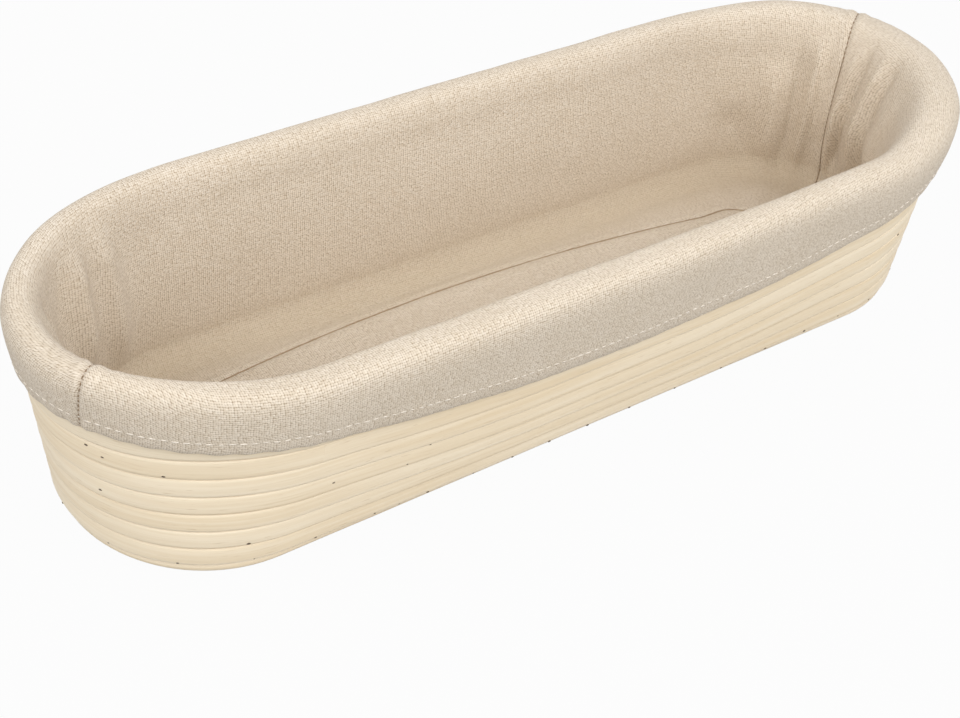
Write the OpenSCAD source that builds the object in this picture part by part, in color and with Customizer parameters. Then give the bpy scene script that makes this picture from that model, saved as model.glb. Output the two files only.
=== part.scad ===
// Long oval proofing basket of coiled cane, with a removable linen liner.
// The cane is wound flat for the floor and then turn upon turn for the wall. Every turn lies level
// and steps to the next one along the back run, so the whole winding is one continuous lay of cane.
// Short nails tie each turn to its neighbour. The liner hangs inside, rolls over the rim and is held
// outside by an elastic in its hem. Millimetres, +Z up, the origin is under the middle of the floor.

/* [Basket] */
// Width over the bottom turn, whose ends are round
base_width = 109; // [90:1:130]
// Straight run of the long sides at the bottom
base_straight = 267; // [200:1:320]
// How far the rim stands out past the bottom turn at each end
end_flare = 9; // [2:0.5:30]
// How far the rim stands out past the bottom turn at each long side
side_flare = 6.5; // [0:0.5:20]
// How much shorter the straight run is at the rim, where the ends are longer ovals
straight_loss = 34; // [0:1:60]
// Height over the rim cane
wall_height = 85.2; // [65:0.1:110]

/* [Cane] */
// Diameter of the cane
cane_d = 7.9; // [6:0.1:8.5]
// Least clear gap between neighbouring turns
turn_gap = 0.4; // [0.4:0.1:1.2]
// Gap left where one length of cane meets the next
splice_gap = 0.1; // [0.05:0.05:0.5]

/* [Nails] */
// Diameter of a nail's shank
nail_d = 1.1; // [0.8:0.1:1.6]
// Diameter of a nail's head
nail_head_d = 2; // [1.6:0.1:2.6]
// Thickness of a nail's head
nail_head_t = 0.5; // [0.4:0.1:0.8]
// Depth of a sunk nail head under the cane's surface
nail_sink = 0.4; // [0.2:0.1:0.8]
// Depth to which the wall's headless nails are punched under the cane's surface
brad_sink = 2; // [0.4:0.1:2.5]
// Nails along one long side of a wall turn
wall_nails_side = 3; // [2:1:10]
// Nails round one end of a wall turn
wall_nails_end = 2; // [2:1:8]
// Nails along one long side of the bottom turn
bottom_nails_side = 11; // [4:1:16]
// Nails round one end of the bottom turn
bottom_nails_end = 7; // [3:1:10]
// Rows of nails across the floor
floor_nail_rows = 2; // [2:1:6]

/* [Liner] */
// Thickness of the cloth
cloth_t = 0.9; // [0.6:0.1:1.4]
// Gap between the cloth and the cane wall
cloth_gap = 0.9; // [0.8:0.1:2]
// Gap between the bottom panel and the cane floor
floor_gap = 0.3; // [0.3:0.1:1]
// How far the cloth sags off the wall inside
cloth_slack = 1.5; // [0:0.1:4]
// Height of the rolled cloth above the rim cane
roll_height = 3.6; // [2:0.1:8]
// How far the roll stands out past the rim cane
roll_reach = 3.5; // [2:0.1:8]
// Drop of the hem's lower edge below the top of the rim cane
apron_drop = 30; // [22:0.5:50]
// Clear depth of the hem's channel, from the wall side to the outer side
channel_depth = 2.6; // [2:0.1:6]
// Room in the channel above and below the elastic
channel_play = 1.5; // [1:0.1:4]
// Depth of the folds at the round ends
fold_depth = 2; // [0:0.1:4]
// Folds between an end's seam and its straight side
fold_count = 3; // [1:1:3]
// How far the bottom panel's long edges lie inside the cloth on the wall
foot_side = 17; // [8:1:25]
// How far the bottom panel's ends lie inside the cloth on the wall
foot_end = 36; // [10:1:60]
// Reach of the bottom panel's rounded ends
bed_reach = 18; // [10:1:30]

/* [Seams] */
// Angle by which the end seams lie round from the tips
seam_turn = 25; // [0:1:40]
// Width of the sewn strip between two cloth panels
seam_width = 1.2; // [0.8:0.1:2]
// Height of the sewn strip round the floor panel
seam_height = 1.3; // [1:0.1:2.5]
// How far a sewn strip stands proud of the cloth on each side
seam_proud = 0.15; // [0.05:0.05:0.4]
// Gap between a panel's edge and its sewn strip
seam_gap = 0.15; // [0.1:0.05:0.3]
// Width of the elastic
elastic_w = 5; // [3:0.5:6]
// Thickness of the elastic
elastic_t = 1.2; // [0.8:0.1:1.5]
// Diameter of the sewing thread along the hem
thread_d = 0.6; // [0.4:0.1:1]

/* [Hidden] */

$fn = 16;
cane_colour = "#ead9b8";
nail_colour = "#6b5a48";
linen_colour = "#cfc0aa";
seam_colour = "#b7a78f";
elastic_colour = "#efece4";
thread_colour = "#e8e0d0";

// Winding: counts and pitches that follow from the sizes above
cane_sides = 6;
cane_r = cane_d / 2;
flat_r = cane_r * cos(180 / cane_sides);
base_half = base_width / 2 - cane_r;
rim_half = base_half + side_flare;
rim_straight = base_straight - straight_loss;
rim_reach = base_half + end_flare + straight_loss / 2;
floor_z = flat_r;
floor_turns = floor(base_half / (cane_d + turn_gap));
floor_pitch = base_half / floor_turns;
climb = wall_height - cane_r - floor_z;
wall_turns = floor(climb / (cane_d + turn_gap));
rise = climb / wall_turns;
strands = 5;
end_steps = 10;
stations = 2 * end_steps + 4;
taper_end = 0.85;
taper_start = 0.15;

// Small pieces of geometry

function lerp(a, b, t) = a + (b - a) * t;

function unit(v) = v / norm(v);

// Plan of the cane's middle line, from the bottom turn (0) to the rim (1):
// half the straight run, reach of the ends, half the width
function plan(share) = [
    lerp(base_straight, rim_straight, share) / 2,
    lerp(base_half, rim_reach, share),
    lerp(base_half, rim_half, share)
];

// Plan of one flat floor turn
function floor_plan(turn) = [base_straight / 2, turn * floor_pitch, turn * floor_pitch];

// A place round a plan is a side (-1 at the left end, 1 at the right end, between them on a
// straight run) and an angle (270 on the front run, 90 on the back run)
function outward(plan, angle) = unit([cos(angle) / plan[1], sin(angle) / plan[2], 0]);

function spot(plan, side, angle, offset, z) =
    [side * plan[0] + plan[1] * cos(angle), plan[2] * sin(angle), z] + outward(plan, angle) * offset;

// Stations of one turn: left end, middle of the front, right end, middle of the back
function side_at(j) =
    j <= end_steps ? -1 : j == end_steps + 1 ? 0 : j <= 2 * end_steps + 2 ? 1 : 0;

function angle_at(j) =
    j <= end_steps ? 90 + 180 * j / end_steps
    : j == end_steps + 1 ? 270
    : j <= 2 * end_steps + 2 ? 270 + 180 * (j - end_steps - 2) / end_steps
    : 450;

function wall_z(level) = floor_z + rise * level;

function wall_plan(level) = plan(level / wall_turns);

// Middle of the cane at a station; the step to the next level is made before the last station
function floor_centre(turn, j) = spot(floor_plan(turn), side_at(j), angle_at(j), 0, floor_z);

function wall_centre(turn, j) =
    let (level = turn + (j == stations - 1 ? 1 : 0))
    spot(wall_plan(level), side_at(j), angle_at(j), 0, wall_z(level));

// Corners of a cane's section: across is its half width sideways, up its half height
function section(centre, normal, across, up, turn_by) = [
    for (i = [0 : cane_sides - 1])
        let (a = turn_by + 360 * i / cane_sides)
        centre + normal * (across * cos(a)) + [0, 0, up * sin(a)]
];

// Floor turns lie with a flat side down, wall turns with a corner down
function floor_section(centre, normal, across) = section(centre, normal, across, cane_r, 0);

function wall_section(centre, normal, up) = section(centre, normal, cane_r, up, 180 / cane_sides);

// Skin over a row of sections that all have the same even number of corners
module loft(sections, closed = false) {
    n = len(sections[0]);
    m = len(sections);
    points = [for (s = sections, p = s) p];
    skin = [
        for (i = [0 : m - (closed ? 1 : 2)], j = [0 : n - 1])
            let (
                a = i * n + j,
                b = i * n + (j + 1) % n,
                c = ((i + 1) % m) * n + (j + 1) % n,
                d = ((i + 1) % m) * n + j
            )
            each [[a, b, c], [a, c, d]]
    ];
    last = (m - 1) * n;
    caps = closed ? [] : [
        for (i = [0 : n / 2 - 2])
            let (a = i, b = i + 1, c = n - 2 - i, d = n - 1 - i)
            each [
                [a, c, b], [a, d, c],
                [last + a, last + b, last + c], [last + a, last + c, last + d]
            ]
    ];
    polyhedron(points, concat(skin, caps), convexity = 10);
}

// Cane

// Straight cane in the middle of the floor, cut square a little past the straight run
module floor_core() {
    length = base_straight + cane_r;
    color(cane_colour)
        translate([0, 0, floor_z])
            rotate([90, 0, 90]) linear_extrude(length, center = true) circle(r = cane_r, $fn = cane_sides);
}

// Flat winding of the floor: it starts as a wedge beside the core and ends where the wall's cane begins
module floor_cane() {
    half = base_straight / 2;
    wedge = floor_pitch * (1 + taper_start) - cane_d - 2 * turn_gap;
    wedge_centre = [-taper_start * half, cane_r + turn_gap + wedge / 2, floor_z];
    start = [floor_section(wedge_centre, [0, 1, 0], wedge / 2)];
    turns = [
        for (turn = [1 : floor_turns], j = [0 : stations - (turn == floor_turns ? 2 : 1)])
            floor_section(floor_centre(turn, j), outward(floor_plan(turn), angle_at(j)), cane_r)
    ];
    color(cane_colour) loft(concat(start, turns));
}

// The wall's stations are counted on from turn to turn, and each length of cane has an equal share
function strand_start(strand) = round((strand - 1) * wall_turns * stations / strands);

function wall_turn(n) = 1 + floor(n / stations);

function wall_at(n) = wall_centre(wall_turn(n), n % stations);

function wall_ring(n, back_off) =
    let (
        j = n % stations,
        level = wall_turn(n) + (j == stations - 1 ? 1 : 0),
        centre = wall_at(n) + unit(wall_at(max(n - 1, 0)) - wall_at(n + 1)) * back_off
    )
    wall_section(centre, outward(wall_plan(level), angle_at(j)), cane_r);

// One length of the wall's winding. The first one climbs off the floor along the back, and the top one
// runs out as a wedge along the back of the rim
module wall_cane(strand) {
    top = strand == strands;
    from = strand_start(strand);
    to = top ? wall_turns * stations - 2 : strand_start(strand + 1);
    foot = floor_centre(floor_turns, stations - 2) - [splice_gap, 0, 0];
    start = strand > 1 ? [] : [
        floor_section(foot, [0, 1, 0], cane_r),
        wall_section(wall_centre(0, stations - 1), [0, 1, 0], cane_r)
    ];
    turns = [for (n = [from : to]) wall_ring(n, n == to && !top ? splice_gap : 0)];
    wedge = rise * (1 - taper_end) - turn_gap;
    wedge_z = wall_z(wall_turns) + cane_r - wedge / 2;
    wedge_centre = spot(wall_plan(wall_turns), 1 - taper_end, 90, 0, wedge_z);
    end = top ? [wall_section(wedge_centre, [0, 1, 0], wedge / 2)] : [];
    color(cane_colour) loft(concat(start, turns, end));
}

// Least distance between the middle lines of two turns, less one diameter
function least_gap(a, b) = min([for (p = a, q = b) norm(p - q)]) - cane_d;

function floor_line(turn) = [for (j = [0 : stations - 2]) floor_centre(turn, j)];

function wall_line(turn) = [for (j = [0 : stations - 2]) wall_centre(turn, j)];

echo(
    floor_turns = floor_turns,
    wall_turns = wall_turns,
    least_gap_in_floor = min([for (t = [1 : floor_turns - 1]) least_gap(floor_line(t), floor_line(t + 1))]),
    least_gap_in_wall = min([for (t = [1 : wall_turns - 1]) least_gap(wall_line(t), wall_line(t + 1))]),
    least_gap_floor_to_wall = least_gap(floor_line(floor_turns), wall_line(1))
);

// Nails

// Headless nail from one point to another
module brad(from, to) {
    run = to - from;
    length = norm(run);
    translate(from) rotate([0, acos(run.z / length), atan2(run.y, run.x)])
        cylinder(d = nail_d, h = length);
}

// Nail with a flat head that starts at the first point
module nail(from, to) {
    run = to - from;
    length = norm(run);
    brad(from, to);
    translate(from) rotate([0, acos(run.z / length), atan2(run.y, run.x)])
        cylinder(d = nail_head_d, h = nail_head_t);
}

// Places along the front and round both ends; phase shifts them by a share of the spacing
function nail_places(per_side, per_end, phase) = concat(
    [for (i = [0 : per_side - 1]) [-1 + 2 * (i + phase) / per_side, 270]],
    [for (i = [0 : per_end - 1]) [1, 270 + 180 * (i + phase) / per_end]],
    [for (i = [0 : per_end - 1]) [-1, 90 + 180 * (i + phase) / per_end]]
);

// Places along the half of the back run where the turns lie level
function back_places(per_side, phase) =
    [for (i = [0 : floor(per_side / 2) - 1]) [-1 + 2 * (i + phase) / per_side, 90]];

function wall_spot(level, place) = spot(wall_plan(level), place[0], place[1], 0, wall_z(level));

// Station of a place on its turn, and the length of cane that lies there
function station_at(place) =
    place[1] < 270 ? -1 - place[0] + end_steps * (place[1] - 90) / 180
    : place[1] == 270 ? end_steps + 1 + place[0]
    : end_steps + 2 + end_steps * (place[1] - 270) / 180;

function strand_at(turn, place) =
    let (n = (turn - 1) * stations + station_at(place))
    1 + len([for (s = [2 : strands]) if (strand_start(s) <= n) s]);

// Brads laid flat through each pair of floor turns, on the front and on the level half of the back
module floor_nails() {
    half = base_straight / 2;
    spacing = base_straight / floor_nail_rows;
    bite = cane_r - nail_sink;
    color(nail_colour)
        for (turn = [1 : floor_turns], row = [0 : floor_nail_rows - 1]) {
            x = -half + spacing * (row + (turn % 2 == 0 ? 0.35 : 0.65));
            outer = turn * floor_pitch + bite;
            inner = (turn - 1) * floor_pitch;
            brad([x, -outer, floor_z], [x, -inner - nail_d, floor_z]);
            if (x > nail_d)
                brad([x, outer, floor_z], [x, inner + nail_d, floor_z]);
        }
}

// Nails driven from below through the bottom turn into the first wall turn
module bottom_nails() {
    color(nail_colour)
        for (place = nail_places(bottom_nails_side, bottom_nails_end, 0.5)) {
            low = wall_spot(0, place);
            high = wall_spot(1, place);
            nail([low.x, low.y, nail_sink], high);
        }
}

// Brads driven down through each turn of a length of cane into the turn below it
module wall_nails(strand) {
    color(nail_colour)
        for (turn = [2 : wall_turns]) {
            phase = turn % 2 == 0 ? 0.3 : 0.7;
            for (place = concat(nail_places(wall_nails_side, wall_nails_end, phase),
                                back_places(wall_nails_side, phase))) {
                high = wall_spot(turn, place);
                low = wall_spot(turn - 1, place);
                down = unit(low - high);
                if (strand_at(turn, place) == strand)
                    brad(high - down * (cane_r - brad_sink), low);
            }
        }
}

// Liner

cloth_stand = cane_r + cloth_gap + cloth_t / 2;
rim_z = wall_z(wall_turns);
floor_top = floor_z + flat_r;
liner_z = floor_top + floor_gap;
bed_z = liner_z + cloth_t / 2;
foot_z = bed_z + cloth_t / 2;
bed_line = -cloth_stand - foot_side;
bed_half = base_half + bed_line;
bed_run = base_straight / 2 + base_half - cloth_stand - foot_end - bed_reach;
bed_plan = [bed_run, bed_reach, bed_half];
seam_room = seam_width / 2 + seam_gap;
roll_out = cane_r + roll_reach - cloth_t / 2;
roll_up = cane_r + roll_height - cloth_t / 2;
apron_out = cloth_stand + cloth_t + channel_depth;
channel_z = wall_height - apron_drop + cloth_t / 2;
channel_h = elastic_w + 2 * channel_play;
wall_points = 5;
roll_steps = 8;
short_arc_steps = 6;
long_arc_steps = 12;
run_steps = 3;
halvings = 20;

// Middle of the cloth in cross-section, as [offset from the cane's middle line, height, share of fold]:
// along the floor, up the inside, over the rim, down the apron, round the hem and a little way up behind it
cloth_line = concat(
    [[bed_line, bed_z, 0]],
    [for (i = [0 : wall_points - 1])
        let (t = i / wall_points)
        [-cloth_stand - cloth_slack * sin(180 * t), lerp(foot_z, rim_z, t), sin(180 * t)]],
    [for (i = [0 : roll_steps])
        let (a = 180 - 180 * i / roll_steps)
        [lerp(-cloth_stand, roll_out, (1 + cos(a)) / 2), rim_z + roll_up * sin(a), 0]],
    [
        [lerp(roll_out, apron_out, 0.75), lerp(channel_z, rim_z, 0.6), 0],
        [apron_out, channel_z + channel_h, 0],
        [apron_out - cloth_t / 4, channel_z + channel_h / 4, 0],
        [lerp(cloth_stand, apron_out, 0.5), channel_z, 0],
        [cloth_stand, channel_z + channel_h / 4, 0],
        [cloth_stand, channel_z + channel_h, 0]
    ]
);
cloth_points = len(cloth_line);

// Direction across the cloth at a point of its line
function cloth_normal(i) =
    let (
        a = cloth_line[max(i - 1, 0)],
        b = cloth_line[min(i + 1, cloth_points - 1)],
        run = unit([b[0] - a[0], b[1] - a[1]])
    )
    [-run.y, run.x];

// Closed outline of the cloth's section, one face out and the other face back, as
// [offset, height, share of fold, plan to follow]: the edge on the floor follows the bottom panel
// and keeps some room from the middle of its seam
function cloth_outline(thickness, room) = [
    for (face = [-1, 1], k = [0 : cloth_points - 1])
        let (
            i = face == -1 ? k : cloth_points - 1 - k,
            n = cloth_normal(i) * (face * thickness / 2),
            offset = cloth_line[i][0] + n[0],
            z = cloth_line[i][1] + n[1]
        )
        i == 0 ? [offset - bed_line + room, z, 0, bed_plan]
        : [offset, z, cloth_line[i][2], plan(share_at(z))]
];

function share_at(z) = max(0, min(1, (z - floor_z) / climb));

// The left end seam lies in an upright plane, square to the wall's foot; the right one is its half turn
seam_at = 180 + seam_turn;
seam_foot = spot(plan(share_at(foot_z)), -1, seam_at, -cloth_stand, 0);
seam_way = outward(plan(share_at(foot_z)), seam_at);
seam_across = [-seam_way.y, seam_way.x, 0];

// Angle at which an offset plan is a given distance past the seam's plane, found by halving
function seam_angle(plan, offset, past, low = 100, high = 268, rounds = halvings) =
    let (middle = (low + high) / 2)
    rounds == 0 ? middle
    : (spot(plan, -1, middle, offset, 0) - seam_foot) * seam_across < past
        ? seam_angle(plan, offset, past, middle, high, rounds - 1)
        : seam_angle(plan, offset, past, low, middle, rounds - 1);

// Depth of the folds: none at the seam or on the straight runs, and fold_count waves between them
function fold_at(share) = fold_depth * (1 - cos(360 * fold_count * share)) / 2;

// Stations of one panel from the left seam to the right seam, as [side, way]: way runs from 0 to 1
// round the short arc of the left end, stays 1 on the straight run, and ends at 2 at the right seam
panel_stations = concat(
    [for (i = [0 : short_arc_steps]) [-1, i / short_arc_steps]],
    [for (i = [1 : run_steps - 1]) [-1 + 2 * i / run_steps, 1]],
    [for (i = [0 : long_arc_steps]) [1, 1 + i / long_arc_steps]]
);

// A point of a panel at one of its stations
function panel_spot(plan, s, offset, fold, z) =
    let (
        way = s[1],
        angle = way < 1
            ? lerp(seam_angle(plan, offset, seam_room), 270, way)
            : lerp(270, 180 + seam_angle(plan, offset, -seam_room), way - 1)
    )
    spot(plan, s[0], angle, offset - fold * fold_at(min(way, 2 - way)), z);

// Half of the liner's side, cut from one piece of cloth; the back half is the front one turned round
module liner_panel(back) {
    outline = cloth_outline(cloth_t, seam_room);
    color(linen_colour)
        rotate([0, 0, back ? 180 : 0])
            loft([for (s = panel_stations) [for (p = outline) panel_spot(p[3], s, p[0], p[2], p[1])]]);
}

// Sewn strip that joins the two panels at one end, in the upright plane of the seam
module end_seam(right) {
    outline = [
        for (p = cloth_outline(cloth_t + 2 * seam_proud, seam_room + seam_width / 2))
            let (q = spot(p[3], -1, seam_angle(p[3], p[0], 0), p[0], 0) - seam_foot)
            [q * seam_way, p[1]]
    ];
    color(seam_colour)
        rotate([0, 0, right ? 180 : 0])
            translate(seam_foot)
                rotate([90, 0, atan2(seam_way.y, seam_way.x)])
                    linear_extrude(seam_width, center = true) polygon(outline);
}

// Places all the way round a plan, at the panels' stations: the front half and then its half turn
function ring(plan, offset, z) = [
    for (half = [1, -1], s = panel_stations)
        if (abs(s[0]) == 1)
            let (q = panel_spot(plan, s, offset, 0, z)) [half * q.x, half * q.y, z]
];

// Closed outline round the bottom panel, a little way out from the middle of its seam
function bed_outline(offset) = [for (q = ring(bed_plan, offset, 0)) [q.x, q.y]];

// Flat bottom panel of the liner
module liner_floor() {
    color(linen_colour)
        translate([0, 0, liner_z])
            linear_extrude(cloth_t) polygon(bed_outline(-seam_room));
}

// Sewn strip between the bottom panel and the two side panels
module floor_seam() {
    color(seam_colour)
        translate([0, 0, liner_z])
            linear_extrude(seam_height)
                difference() {
                    polygon(bed_outline(seam_width / 2));
                    polygon(bed_outline(-seam_width / 2));
                }
}

// Closed band with a four-cornered section, standing off the cane's middle line
module hem_band(offset, z, width, height) {
    edges = [
        for (c = [[1, 1], [-1, 1], [-1, -1], [1, -1]])
            let (h = z + c[1] * height / 2)
            ring(plan(share_at(h)), offset + c[0] * width / 2, h)
    ];
    loft([for (i = [0 : len(edges[0]) - 1]) [for (e = edges) e[i]]], closed = true);
}

// Elastic band, loose in the hem's channel
module hem_elastic() {
    middle = (cloth_stand + apron_out) / 2;
    color(elastic_colour)
        hem_band(middle, channel_z + cloth_t / 2 + channel_play + elastic_w / 2, elastic_t, elastic_w);
}

// Line of sewing thread that closes the channel, on the face of the apron
module hem_thread() {
    stand = apron_out + cloth_t / 2 + seam_proud + seam_gap + thread_d / 2;
    color(thread_colour)
        hem_band(stand, channel_z + channel_h, thread_d, thread_d);
}

floor_core();
floor_cane();
wall_cane(1);  // wall_cane_1
wall_cane(2);  // wall_cane_2
wall_cane(3);  // wall_cane_3
wall_cane(4);  // wall_cane_4
wall_cane(5);  // wall_cane_5
floor_nails();
bottom_nails();
wall_nails(1);  // wall_nails_1
wall_nails(2);  // wall_nails_2
wall_nails(3);  // wall_nails_3
wall_nails(4);  // wall_nails_4
wall_nails(5);  // wall_nails_5
liner_floor();
liner_panel(false);  // liner_front_panel
liner_panel(true);  // liner_back_panel
end_seam(false);  // left_end_seam
end_seam(true);  // right_end_seam
floor_seam();
hem_elastic();
hem_thread();
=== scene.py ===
# %% [markdown]
# # A long oval proofing basket
# The basket is pale cane wound into an oval, turn upon turn, and held by small nails. A linen
# liner hangs in it, rolls over the rim and ends outside in a hem that an elastic draws in.
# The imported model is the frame: it gives the bodies, the nodes and their places, in metres.
# Everything below is made around that frame, so nothing has to be fitted afterwards.

# %% Load the frame
import math

import bpy
import numpy as np
from mathutils import Matrix, Vector, noise


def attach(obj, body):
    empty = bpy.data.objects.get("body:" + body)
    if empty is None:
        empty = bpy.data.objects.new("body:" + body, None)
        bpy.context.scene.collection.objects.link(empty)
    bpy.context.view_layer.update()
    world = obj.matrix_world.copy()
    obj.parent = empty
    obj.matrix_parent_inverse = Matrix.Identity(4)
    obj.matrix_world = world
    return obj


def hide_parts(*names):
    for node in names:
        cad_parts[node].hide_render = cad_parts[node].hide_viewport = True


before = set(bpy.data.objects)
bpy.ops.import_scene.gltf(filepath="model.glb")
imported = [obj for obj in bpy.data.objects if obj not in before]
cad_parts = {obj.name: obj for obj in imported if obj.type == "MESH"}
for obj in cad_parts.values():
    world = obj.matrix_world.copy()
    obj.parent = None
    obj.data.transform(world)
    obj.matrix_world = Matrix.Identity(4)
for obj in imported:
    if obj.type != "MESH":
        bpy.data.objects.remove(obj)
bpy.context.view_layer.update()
MM = 0.001


def placed(name, data):
    """A new object in the scene."""
    made = bpy.data.objects.new(name, data)
    bpy.context.scene.collection.objects.link(made)
    return made


print("nodes in the frame:", len(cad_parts))

# %% [markdown]
# ## Camera
# A photographer stood in front of the basket's left half, well above it, and held the camera
# a little askew. A camera can be turned by three angles, but a matrix built from its own three
# axes says the same thing with no doubt about the order of turns. The lens is a short telephoto,
# so the far end looks only a little smaller than the near one.

# %% Camera
AZIMUTH, ELEVATION, ROLL = (math.radians(a) for a in (-39.136, 41.928, 7.391))
AIM = Vector((-3.891, 13.403, -17.889)) * MM
DISTANCE = 681.93 * MM
back = Vector((math.sin(AZIMUTH) * math.cos(ELEVATION),
               -math.cos(AZIMUTH) * math.cos(ELEVATION),
               math.sin(ELEVATION)))
right = Vector((0, 0, 1)).cross(back).normalized()
up = back.cross(right)
axes = Matrix((right * math.cos(ROLL) + up * math.sin(ROLL),
               up * math.cos(ROLL) - right * math.sin(ROLL), back)).transposed()

camera = placed("camera", bpy.data.cameras.new("camera"))
camera.data.lens = 62.70
camera.data.sensor_width = 36.0
camera.matrix_world = Matrix.Translation(AIM + back * DISTANCE) @ axes.to_4x4()
bpy.context.scene.camera = camera
print("camera at", [round(v, 3) for v in camera.location])

# %% [markdown]
# ## The winding rule
# Every turn of the basket is the same figure: two straight runs and two half ellipses. From the
# base to the rim the runs get shorter while the ends reach further, so the wall leans outwards.
# One small function gives that figure at any height, and the cane, the nails and the cloth all
# ask it where to go. Lengths here are in millimetres and become metres when a mesh is made.

# %% Winding rule
BASE_STRAIGHT, STRAIGHT_LOSS = 267.0, 34.0
BASE_HALF, SIDE_FLARE, END_FLARE = 50.55, 6.5, 9.0
FLOOR_Z, RISE, WALL_TURNS = 3.421, 8.6477, 9
FLOOR_TURNS = 6
FLOOR_PITCH = BASE_HALF / FLOOR_TURNS
RIM_Z = FLOOR_Z + RISE * WALL_TURNS


def oval(share):
    """Half of the straight run, reach of the ends and half width, from base (0) to rim (1)."""
    return ((BASE_STRAIGHT - STRAIGHT_LOSS * share) / 2,
            BASE_HALF + (END_FLARE + STRAIGHT_LOSS / 2) * share,
            BASE_HALF + SIDE_FLARE * share)


def spot(shape, side, angle, offset=0.0):
    """A point of the oval at an angle in degrees, moved outwards; side is -1 left and 1 right."""
    half, reach, width = shape
    c, s = np.cos(np.radians(angle)), np.sin(np.radians(angle))
    length = np.hypot(c / reach, s / width)
    return (side * half + reach * c + offset * c / reach / length,
            width * s + offset * s / width / length)


def ease(f):
    f = np.clip(f, 0.0, 1.0)
    return f * f * (3 - 2 * f)


def between(first, second, share):
    return first + (second - first) * share


print("rim: %.0f mm long, %.0f mm wide" % tuple(2 * v for v in (sum(oval(1)[:2]), oval(1)[2])))

# %% [markdown]
# ## How the wall settles
# Cane is springy, so the wall does not stay quite as it was wound. The lower turns are pressed
# together a little. In the middle of a long side they sink further and bulge outwards, and the
# rim dips by a few millimetres. The cane and the cloth both ask these functions.

# %% Settling
PRESSED, SINK, RIM_DIP, BULGE = 2.6, 8.3, 2.5, 2.2
PRESSED_TURNS = 6
SINK_Z, SINK_SHAPE, BULGE_TOP = 50, 1.4, 100
SAG_HALF, SAG_FADE = 30, 140
DIP_HALF, DIP_FADE = 125, 50


def turn_height(level):
    """Height of the cane's middle line, counted in turns from the floor turn."""
    return FLOOR_Z + RISE * level - PRESSED * (
        1 - ease((level - PRESSED_TURNS) / (WALL_TURNS - PRESSED_TURNS)))


def rim_dip(x):
    return RIM_DIP * (1 - ease((np.abs(x) - DIP_HALF) / DIP_FADE))


def settled(x, z):
    """How far a point of the wall has sunk and how far it bulges."""
    low = np.sin(np.pi / 2 * np.clip(z / SINK_Z, 0, 1)) ** SINK_SHAPE
    high = ease((z - SINK_Z) / (RIM_Z - SINK_Z))
    middle = 1 - ease((np.abs(x) - SAG_HALF) / SAG_FADE)
    sink = SINK * low * (1 - high) * middle + rim_dip(x) * high
    return sink, BULGE * middle * np.sin(np.pi * np.clip(z / BULGE_TOP, 0, 1))


print("in the middle of a side the rim dips by", RIM_DIP, "mm")

# %% [markdown]
# ## Helpers for node trees
# Materials and Geometry Nodes are both trees of nodes. A few helpers keep the lesson readable:
# they add a node and set or link its inputs, do arithmetic, mix colours and finish a shader.
# Colours are written as the 0 to 255 values of a screen and turned into linear light.

# %% Helpers for node trees
def put(socket, value):
    """Sets a socket, or links it to another one; a socket knows the tree that it is in."""
    if isinstance(value, bpy.types.NodeSocket):
        socket.id_data.links.new(value, socket)
    else:
        socket.default_value = value


def add(tree, kind, inputs=None, **settings):
    made = tree.nodes.new(kind)
    for name, value in settings.items():
        setattr(made, name, value)
    for name, value in (inputs or {}).items():
        put(made.inputs[name], value)
    return made


def result(tree, kind, inputs=None, **settings):
    """First output of a new node."""
    return add(tree, kind, inputs, **settings).outputs[0]


def tree_of(*values):
    return next(v.id_data for v in values if isinstance(v, bpy.types.NodeSocket))


def calc(operation, *values, clamp=False):
    return result(tree_of(*values), "ShaderNodeMath", dict(enumerate(values)),
                  operation=operation, use_clamp=clamp)


def times(first, second):
    return calc("MULTIPLY", first, second)


def vector(x, y, z=0.0):
    return result(tree_of(x, y, z), "ShaderNodeCombineXYZ", {"X": x, "Y": y, "Z": z})


def arrows(operation, first, second):
    """Arithmetic on vectors."""
    return result(first.id_data, "ShaderNodeVectorMath", {0: first, 1: second}, operation=operation)


def scaled(arrow, factor):
    return result(arrow.id_data, "ShaderNodeVectorMath", {0: arrow, "Scale": factor},
                  operation="SCALE")


def spread(value, low, high, to_low=0.0, to_high=1.0):
    """Maps low..high smoothly to to_low..to_high."""
    return result(value.id_data, "ShaderNodeMapRange",
                  {"Value": value, "From Min": low, "From Max": high,
                   "To Min": to_low, "To Max": to_high}, interpolation_type="SMOOTHSTEP")


def grainy(place, scale, detail=2.0, roughness=0.5):
    return result(place.id_data, "ShaderNodeTexNoise",
                  {"Vector": place, "Scale": scale, "Detail": detail, "Roughness": roughness})


def tint(share, first, second):
    """Mixes two colours; the colour sockets of a Mix node are numbers 6 and 7."""
    return add(share.id_data, "ShaderNodeMix", {0: share, 6: first, 7: second},
               data_type="RGBA").outputs[2]


def screen(red, green, blue):
    def light(v):
        v /= 255
        return v / 12.92 if v <= 0.04045 else ((v + 0.055) / 1.055) ** 2.4
    return (light(red), light(green), light(blue), 1.0)


def attribute(tree, name, output="Fac"):
    return add(tree, "ShaderNodeAttribute", attribute_name=name).outputs[output]


def finish_named(name):
    """A new material, its tree and its shader node."""
    material = bpy.data.materials.new(name)
    material.use_nodes = True
    tree = material.node_tree
    return material, tree, tree.nodes["Principled BSDF"]


def dress(shader, colour, roughness, relief, strength, depth, more=None):
    """Colour, roughness, a bump and any further inputs of a shader."""
    bump = result(shader.id_data, "ShaderNodeBump",
                  {"Height": relief, "Strength": strength, "Distance": depth})
    looks = {"Base Color": colour, "Roughness": roughness, "Normal": bump, **(more or {})}
    for name, value in looks.items():
        put(shader.inputs[name], value)


print("helpers ready")

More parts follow.
